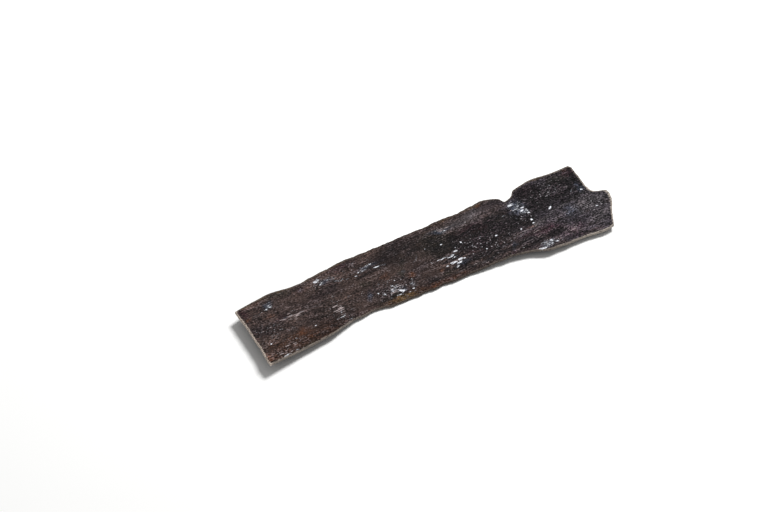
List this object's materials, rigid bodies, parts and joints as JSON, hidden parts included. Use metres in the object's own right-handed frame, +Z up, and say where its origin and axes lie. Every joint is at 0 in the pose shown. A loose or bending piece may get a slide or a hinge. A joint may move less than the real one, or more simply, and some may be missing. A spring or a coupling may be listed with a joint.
{
  "type": "dried kelp strip",
  "caption": "Long flat strip of dried kelp with one straight cut end, one broken end with a pointed tip, a notch in its back edge, low lengthwise folds and gently curled ends.",
  "frame": {"origin": "middle of the strip's bounding box, on the table it lies on", "axes": "+X along the strip from its cut end to its broken end, +Y across it from the front edge to the notched back edge, +Z up from the table"},
  "size_m": [0.1652, 0.0399, 0.0065],
  "materials": {
    "dried_kelp": "dry, leathery and satin, dark purple-brown with a thin whitish bloom"
  },
  "bodies": {
    "root": {"kelp_strip": "dried_kelp"}
  },
  "joints": []
}
